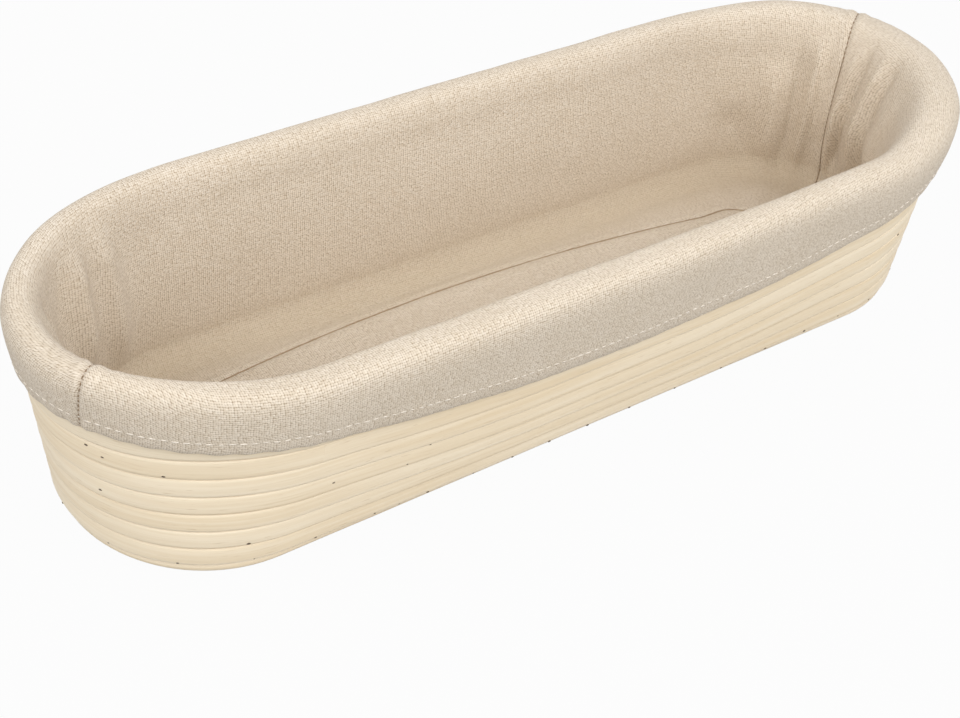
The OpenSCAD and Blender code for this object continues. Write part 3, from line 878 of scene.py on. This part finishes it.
def laid_smooth(facing):
    """Places and angles of a panel's grid, before any folds."""
    side, way = columns(facing)
    offset, z = profile(facing)
    angle = angles(way, seam_lean(z), facing)
    share = np.clip((z - FLOOR_Z) / (RIM_Z - FLOOR_Z), 0, 1)
    x, y = spot(oval(share), side, angle, offset)
    bed_x, bed_y = bed_spot(facing)
    t = rows_of("foot") - 1 / ROWS["foot"]
    foot_x, foot_y = between(bed_x, x[0], t), between(bed_y, y[0], t)
    foot_z, foot_angle = np.full(foot_x.shape, FOOT_Z), np.repeat(angle[:1], len(t), axis=0)
    grid = np.dstack([np.concatenate(pair) for pair in ((foot_x, x), (foot_y, y), (foot_z, z))])
    return grid, np.concatenate([foot_angle, angle])


def arc(grid, axis):
    """Length along the grid's rows or columns."""
    steps = np.linalg.norm(np.diff(grid, axis=axis), axis=2)
    start = np.zeros_like(np.take(steps, [0], axis=axis))
    return np.cumsum(np.concatenate([start, steps], axis=axis), axis=axis)


def visible_normals(grid):
    """Normals of a grid, on the side of the cloth that is seen."""
    normal = np.cross(np.gradient(grid, axis=0), np.gradient(grid, axis=1))
    return normal / np.linalg.norm(normal, axis=2, keepdims=True)


def bell(distance, width):
    return np.exp(-(distance / width) ** 2)


def sewn_edge(distance):
    """Cloth swells beside a seam and dips into it."""
    return 0.35 * bell(distance - 2.2, 1.3) - 0.3 * bell(distance, 0.8)


def slow_noise(grid, size, seed):
    """Soft noise from -1 to 1 at every grid point."""
    shift = Vector((seed * 3.1, seed * 1.7, seed * 0.9))
    values = [noise.noise(Vector(p) / size + shift) for p in grid.reshape(-1, 3)]
    return np.array(values).reshape(grid.shape[:2])


def cloth_piece(name, grid, uv, material, flip=False):
    """A mesh from a grid, with its UV map in metres and its thickness from Solidify."""
    rows, count = grid.shape[:2]
    number = np.arange(rows * count).reshape(rows, count)
    corners = [number[:-1, :-1], number[1:, :-1], number[1:, 1:], number[:-1, 1:]]
    faces = np.stack(corners[::-1] if flip else corners, axis=-1).reshape(-1, 4)
    mesh = bpy.data.meshes.new(name)
    mesh.from_pydata((grid.reshape(-1, 3) * MM).tolist(), [], faces.tolist())
    layer = mesh.uv_layers.new(name="cloth")
    layer.data.foreach_set("uv", (uv.reshape(-1, 2) * MM)[faces.ravel()].ravel())
    mesh.polygons.foreach_set("use_smooth", [True] * len(mesh.polygons))
    mesh.materials.append(material)
    piece = placed(name, mesh)
    solid = piece.modifiers.new("cloth_thickness", "SOLIDIFY")
    solid.thickness, solid.offset = CLOTH * MM, 0.0
    area = sum(face.area for face in mesh.polygons)
    print(name, "has", round(area * 1e4), "square centimetres of cloth")
    return piece, area


print("a panel reaches from %.1f to %.1f mm" % tuple(
    edge(laid_smooth(1)[0][:, :, 2]) for edge in (np.min, np.max)))

# %% [markdown]
# ## Folds of the liner
# The cloth is cut a little wider than the wall, so it stands in soft upright folds at the ends,
# where the oval is tight, and lies smooth along the sides. Each fold is a bell across the cloth
# that fades out above and below; a negative height makes a hollow. The end seams pull the cloth
# into a shallow groove, and the elastic draws the hem into small gathers round the ends. Every
# point moves along its own normal, and arc lengths of the grid make the UV map, which starts
# elsewhere on each piece so that no two show the same threads. In the corner between wall and
# floor the linen's colour is darkened a little as painted shade; an attribute on the mesh says how much.

# %% Folds of the liner
UV_START = {"front": 700, "back": 1500, "bottom": 2500}
# Each row: end, angle at the top and at the bottom, half width in degrees, height, lower and upper end
FOLDS = [
    (1, 397, 394, 2.8, 3.0, 4, 84), (1, 378, 380, 2.2, 1.8, 4, 86), (1, 371, 374, 2.8, -2.8, 4, 88),
    (1, 359, 362, 4.2, 2.2, 6, 92), (1, 349, 352, 4.4, -2.3, 12, 92), (1, 405, 402, 2.4, -1.8, 4, 80),
    (1, 416, 410, 5.0, 2.6, 2, 70), (1, 436, 430, 9.0, -2.4, 2, 50), (1, 330, 330, 8.0, 2.0, 10, 80),
    (1, 305, 305, 8.0, 1.8, 6, 66), (-1, 144, 144, 6.0, -2.0, 30, 88), (-1, 132, 130, 4.6, 4.2, 20, 86),
    (-1, 120, 107, 5.0, 4.0, 12, 86), (-1, 168, 168, 5.0, 2.8, 16, 86), (-1, 156, 158, 4.0, -1.8, 20, 86),
    (-1, 236, 236, 6.0, 2.4, 8, 74), (-1, 214, 212, 3.0, 1.5, 16, 78),
]


def folded(facing):
    """The grid of a panel with its folds, its UV map and how much painted shade each point gets near the
    corner.
    """
    smooth, angle = laid_smooth(facing)
    side = columns(facing)[0]
    z = smooth[:, :, 2]
    from_start = arc(smooth, 1)
    near_seam = np.minimum(from_start, from_start[:, -1:] - from_start)
    row = np.arange(len(smooth))[:, None]
    inside = 1 - ease((row - FIRST_ROW["roll"] - 3) / 8)
    outside = ease((row - FIRST_ROW["apron"] + 8) / 8)
    on_foot = 1 - ease((row - FIRST_ROW["bend"]) / 8)

    push = 0.35 * slow_noise(smooth, 34, 1.0) + 0.15 * slow_noise(smooth, 13, 2.0)
    push *= 1 - 0.5 * on_foot
    push += 0.6 * inside * (1 - on_foot) * slow_noise(smooth, 55, 3.0)
    for end, top, bottom, half, height, low, high in FOLDS:
        middle = between(bottom, top, np.clip((z - 10) / 70, 0, 1))
        gap = (angle - middle + 180) % 360 - 180
        upright = ease((z - low) / 24) * (1 - ease((z - high + 18) / 18))
        push += (side == end) * inside * upright * height * bell(gap, half)

    ends = 1 - ease((near_seam - 60) / 60)
    gathers = np.sin(from_start * 0.62 + 1.4 * slow_noise(smooth, 30, 4.0))
    push += outside * ease((74 - z) / 10) * (0.06 + 0.14 * ends) * gathers
    push += (1 - on_foot) * 0.2 * bell(near_seam, 12) * np.sin(near_seam * 0.9)
    push -= 0.5 * bell(near_seam, 1.3)
    push += (1 - inside) * (1 - outside) * 0.5 * bell(near_seam - 3, 2.5)
    up_wall = np.clip((row - FIRST_ROW["inner"]) / ROWS["inner"], 0, 1)
    room = 0.7 + SLACK * np.sin(np.pi * up_wall) + 0.8 * puff(facing) * ease(up_wall)
    push = np.where(row < FIRST_ROW["roll"] + 10, np.maximum(push, -room), push)
    from_bed = arc(smooth, 0)
    from_corner = from_bed - from_bed[FIRST_ROW["bend"]:FIRST_ROW["bend"] + 1]
    # how much painted shade each point gets in the corner between wall and floor
    corner = 1.1 * bell(from_corner - 4, 12)
    push += sewn_edge(from_bed)
    grid = smooth + visible_normals(smooth) * push[:, :, None]
    rim = FIRST_ROW["roll"]
    uv = np.dstack([from_start - from_start[:, MIDDLE_COLUMN, None], from_bed - from_bed[rim:rim + 1]])
    return grid, uv, corner


panels = {}
for facing, name in ((1, "front"), (-1, "back")):
    grid, uv, corner = folded(facing)
    piece, area = cloth_piece("liner_%s" % name, grid, uv + UV_START[name], linen)
    # the painted corner shade goes on the mesh as an attribute that the linen reads
    piece.data.attributes.new("corner", "FLOAT", "POINT").data.foreach_set("value", corner.ravel())
    hand_over(piece, "liner", "linen", "liner_%s_panel" % name)
    panels[name] = (piece, grid, area)

# %% [markdown]
# ## Bottom of the liner
# The bottom is one flat piece of the same linen, a narrow oval that lies on the cane. A grid whose
# rows get shorter towards the long edges fills the oval with clean quads, and its plain x and y
# make the UV map. It rises a little and then dips at the edge, where it is sewn to the panels.

# %% Bottom of the liner
half_run, bed_reach, bed_half = BED
lean = np.radians(np.linspace(-89.5, 89.5, 64))[:, None]
share = np.linspace(-1, 1, 260)[None, :]
x = share * (half_run + bed_reach * np.cos(lean))
y = np.broadcast_to(bed_half * np.sin(lean), x.shape)
beyond = np.clip(np.abs(x) - half_run, 0, None) / bed_reach
from_edge = (1 - np.sqrt(beyond ** 2 + (y / bed_half) ** 2)) * bed_reach
bed = np.dstack([x, bowed(x, y), np.full(x.shape, FOOT_Z)])
bed[:, :, 2] += sewn_edge(from_edge)
bed[:, :, 2] += 0.25 * np.clip(slow_noise(bed, 40, 5.0), 0, 1)
bed_piece, bed_area = cloth_piece("liner_bottom", bed, bed[:, :, :2] + UV_START["bottom"],
                                  linen, flip=True)
hand_over(bed_piece, "liner", "linen", "liner_floor")

# %% [markdown]
# ## Finishes of seams and elastic
# Seams and threads are spun yarn in different shades, so one function makes all three. The elastic
# is covered with yarn in fine ribs across it; the sweep's attribute run counts them along the band.

# %% Finishes of seams and elastic
def plain_yarn(name, first, second, size):
    """Spun yarn: short fibres of two shades, with a bump of the same grain."""
    yarn, tree, shader = finish_named(name)
    where = add(tree, "ShaderNodeTexCoord").outputs["Object"]
    grain = grainy(where, size, detail=3.0, roughness=0.65)
    colour = tint(spread(grain, 0.35, 0.65), first, second)
    dress(shader, colour, spread(grain, 0.3, 0.7, 0.95, 0.75), grain, 0.5, 0.1 * MM)
    return yarn


seam_linen = plain_yarn("seam_linen", screen(146, 124, 98), screen(176, 155, 128), 1400)
hem_yarn = plain_yarn("hem_thread_pale", screen(218, 208, 194), screen(238, 231, 220), 2600)
seam_yarn = plain_yarn("seam_thread_dark", screen(126, 105, 82), screen(154, 133, 108), 2600)
band, tree, shader = finish_named("elastic_band")
ribs = calc("SINE", times(attribute(tree, "run"), 2 * math.pi / (0.8 * MM)))
colour = tint(spread(ribs, -1, 1), screen(205, 200, 190), screen(240, 237, 230))
dress(shader, colour, spread(ribs, -1, 1, 0.9, 0.7), ribs, 0.5, 0.2 * MM)
print("finishes for seams and elastic")

# %% [markdown]
# ## Seams and elastic
# The bottom is sewn to the panels with a narrow seam that shows as a thin dark line. The elastic
# lies in the hem's channel and follows the hem up and down. Both follow a path round the
# basket, so the sweep tree makes them from paths that are laid the way the cloth is laid.

# %% Seams and elastic
def bed_edge(facing):
    x, y = bed_spot(facing)
    return np.column_stack([x, y, np.full(x.shape, FOOT_Z - 0.05)])


def band_line(facing):
    side, way = columns(facing)
    z = HEM_Z + hem_shift(facing) + BAND_UP
    shape = oval((z - FLOOR_Z) / (RIM_Z - FLOOR_Z))
    angle = angles(way, seam_lean(z), facing)
    x = spot(shape, side, angle)[0]
    offset = APRON_OUT - HEM_ROUND + wall_bulge(x) - draw_in(x)
    return np.column_stack([*spot(shape, side, angle, offset), z])


def swept_ring(name, line, settings):
    """A closed piece from a line that is known for each panel; the shared ends count once."""
    points = np.concatenate([line(1)[:-1], line(-1)[:-1]])
    path = chain(name + "_path", points, closed=True, thick=np.ones(len(points)))
    return grow(path, sweep, name, settings)


bottom_seam = swept_ring("bottom_seam", bed_edge, {
    "Width": 0.7 * MM, "Height": 1.0 * MM, "Squareness": 2.2, "Wobble": 0.3 * MM,
    "Wobble Length": 5 * MM, "Points": 10, "Lies Flat": False, "Seed": 1.0, "Material": seam_linen})
hand_over(bottom_seam, "liner", "seam", "floor_seam")
elastic = swept_ring("hem_elastic_band", band_line, {
    "Width": 1.2 * MM, "Height": 5.0 * MM, "Squareness": 5.0, "Wobble": 0.3 * MM,
    "Wobble Length": 7 * MM, "Points": 12, "Lies Flat": False, "Seed": 2.0, "Material": band})
hand_over(elastic, "liner", "elastic", "hem_elastic")

# %% [markdown]
# ## Stitches
# A stitch is a squashed bead again: the tree walks along a path at an even spacing, lays one bead
# at each step and turns it to the path and to the cloth under it. Two marks on the path give each
# bead its length and breadth.

# %% Stitches
stitching, sizes = group_with("line_of_stitches", {
    "Spacing": "Float", "Depth": "Float", "Unevenness": "Float", "Seed": "Int",
    "Material": "Material"})
path = result(stitching, "GeometryNodeMeshToCurve", {"Mesh": sizes["Geometry"]})
path = result(stitching, "GeometryNodeResampleCurve", {"Curve": path, "Length": sizes["Spacing"]},
              mode="LENGTH")
uneven = random_share(sizes["Seed"], calc("SUBTRACT", 1.0, sizes["Unevenness"]),
                      calc("ADD", 1.0, sizes["Unevenness"]))
size = vector(times(mark(stitching, "long"), uneven), mark(stitching, "broad"), sizes["Depth"])
lay_beads(path, 6, size, sizes["Material"],
          X=result(stitching, "GeometryNodeInputTangent"), Z=mark(stitching, "facing", "FLOAT_VECTOR"))
print("tree", stitching.name, "with", len(stitching.nodes), "nodes")

# %% [markdown]
# ## Hem stitches and end seams
# The hem is sewn with one line of pale thread. The end seams show as short dark stitches on the
# outside and as a thin dark line on the inside. The paths come from the cloth itself: a row of the
# panels' grids for the hem, and the front panel's first and last columns for the end seams.

# %% Hem stitches and end seams
out = {name: visible_normals(panels[name][1]) for name in panels}
hem_row = FIRST_ROW["apron"] + 17
hem_points = np.concatenate([panels[name][1][hem_row, :-1] for name in ("front", "back")])
hem_out = np.concatenate([out[name][hem_row, :-1] for name in ("front", "back")])
count = len(hem_points)
hem_line = chain("hem_line", hem_points + hem_out * (CLOTH / 2), closed=True, facing=hem_out,
                 long=np.full(count, 2.5 * MM), broad=np.full(count, 0.42 * MM))
hem_stitches = grow(hem_line, stitching, "hem_stitches", {
    "Spacing": 3.5 * MM, "Depth": 0.4 * MM, "Unevenness": 0.25, "Seed": 5, "Material": hem_yarn})
hand_over(hem_stitches, "liner", "thread", "hem_thread")

for column, name in ((0, "left"), (-1, "right")):
    last = FIRST_ROW["turn"] + 8
    line, facing = panels["front"][1][:last, column], out["front"][:last, column]
    outside = ease((np.arange(last) - FIRST_ROW["roll"]) / 8)
    ladder = chain("seam_line", line + facing * (CLOTH / 2), facing=facing,
                   long=between(2.8, 1.3, outside) * MM, broad=between(0.4, 1.0, outside) * MM)
    piece = grow(ladder, stitching, "%s_seam_stitches" % name, {
        "Spacing": 2.2 * MM, "Depth": 0.5 * MM, "Unevenness": 0.15, "Seed": 8, "Material": seam_yarn})
    hand_over(piece, "liner", "seam", "%s_end_seam" % name)

# %% [markdown]
# ## How much of its cut the cloth fills
# A panel was cut as a curved strip, so its flat area is less than that of the rectangle it was cut from.
# This cell prints that share for the front panel and for the bottom.

# %% How much of its cut the cloth fills
PANEL_CUT, BED_CUT = (0.190, 0.480), (0.057, 0.286)
for name, area, cut in (("front", panels["front"][2], PANEL_CUT), ("bottom", bed_area, BED_CUT)):
    print("%s: %.2f of the rectangle it was cut from" % (name, area / cut[0] / cut[1]))

# %% [markdown]
# ## Studio
# The basket stands on a pale table under broad, soft light. The table shows as almost white to
# the camera but keeps a faint shadow, and the world is white only where the camera, a reflection
# or a clear pane would see it. Two large panel lamps stand in front and one at the left, well above
# the basket, so that they also reach the liner's inside.

# %% Studio
def seen_directly(tree):
    """One where a ray comes from the camera, a reflection or through glass."""
    light_path = add(tree, "ShaderNodeLightPath").outputs
    seen = calc("ADD", light_path["Is Camera Ray"], light_path["Is Glossy Ray"])
    return calc("ADD", seen, light_path["Is Transmission Ray"], clamp=True)


TABLE_REACH, TABLE_SIDES, TABLE_Z, TABLE_GLOW = 4.0, 64, -0.0003, 0.96
WORLD_LIGHT, LAMP_AIM = 0.66, Vector((0, 0, 0.04))
table, tree, shader = finish_named("pale_table")
shader.inputs["Base Color"].default_value = screen(150, 150, 149)
shader.inputs["Roughness"].default_value = 0.9
glow = add(tree, "ShaderNodeEmission", {"Color": (1, 1, 1, 1), "Strength": 1.0})
share = times(seen_directly(tree), TABLE_GLOW)
mixed = add(tree, "ShaderNodeMixShader", {0: share, 1: shader.outputs[0], 2: glow.outputs[0]})
put(tree.nodes["Material Output"].inputs["Surface"], mixed.outputs[0])

mesh = bpy.data.meshes.new("table")
ring = [(TABLE_REACH * math.cos(a), TABLE_REACH * math.sin(a), TABLE_Z)
        for a in np.linspace(0, 2 * math.pi, TABLE_SIDES + 1)[:-1]]
mesh.from_pydata(ring, [], [tuple(range(TABLE_SIDES))])
mesh.materials.append(table)
floor = placed("table", mesh)

world = bpy.data.worlds.new("studio")
bpy.context.scene.world = world
world.use_nodes = True
tree = world.node_tree
strength = result(tree, "ShaderNodeMix", {"Factor": seen_directly(tree), 2: WORLD_LIGHT, 3: 1.0})
put(tree.nodes["Background"].inputs["Strength"], strength)
tree.nodes["Background"].inputs["Color"].default_value = (1, 1, 1, 1)

for name, place, wide, power in (("front_left_panel", (-0.6, -1.1, 1.2), 1.0, 9.7),
                                 ("front_right_panel", (0.5, -1.1, 1.3), 1.0, 9.7),
                                 ("left_panel", (-1.25, 0.2, 1.1), 0.8, 6.5)):
    lamp = placed(name, bpy.data.lights.new(name, "AREA"))
    lamp.data.shape, lamp.data.size, lamp.data.energy = "DISK", wide, power
    lamp.location = place
    lamp.rotation_euler = (LAMP_AIM - Vector(place)).to_track_quat("-Z", "Y").to_euler()
bpy.context.scene.view_settings.view_transform = "Standard"
print("studio ready")
